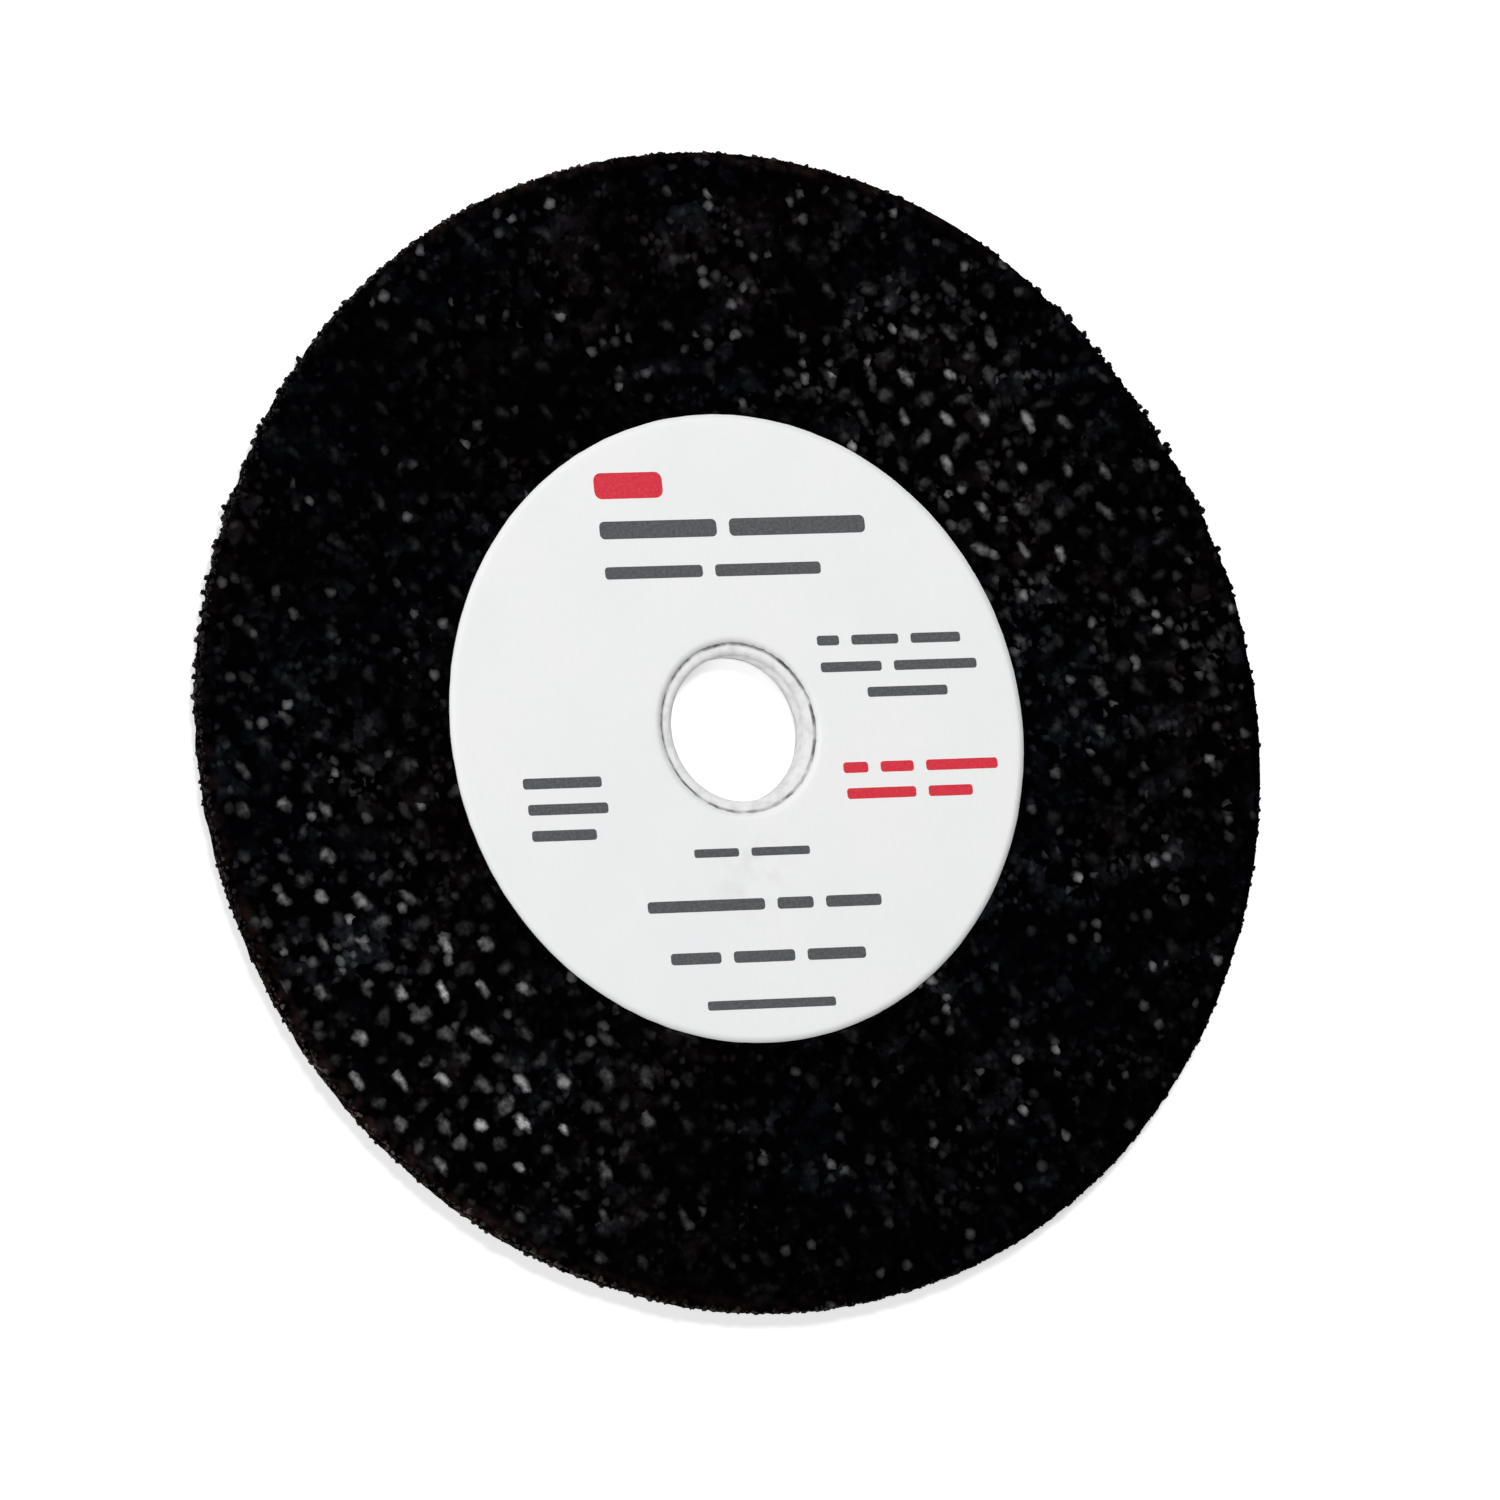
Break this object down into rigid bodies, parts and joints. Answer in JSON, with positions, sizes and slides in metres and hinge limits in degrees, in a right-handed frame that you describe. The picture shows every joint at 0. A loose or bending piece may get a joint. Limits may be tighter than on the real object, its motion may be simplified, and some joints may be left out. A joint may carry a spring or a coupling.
{
  "type": "cut off wheel",
  "caption": "Thin flat abrasive cut-off wheel: a black bonded disc with woven glass-cloth faces, a plain arbor hole and a white paper label round the hole.",
  "frame": {"origin": "on the bore's axis, in the plane of the back face on which the wheel lies", "axes": "+Z along the bore, out of the labelled face; +X the reading direction of the label"},
  "size_m": [0.076, 0.076, 0.0016],
  "materials": {
    "bonded_abrasive": "rough black resin-bonded grit over woven glass cloth",
    "label_paper": "matt white paper"
  },
  "bodies": {
    "root": {"abrasive_disc": "bonded_abrasive", "paper_label": "label_paper"}
  },
  "joints": []
}
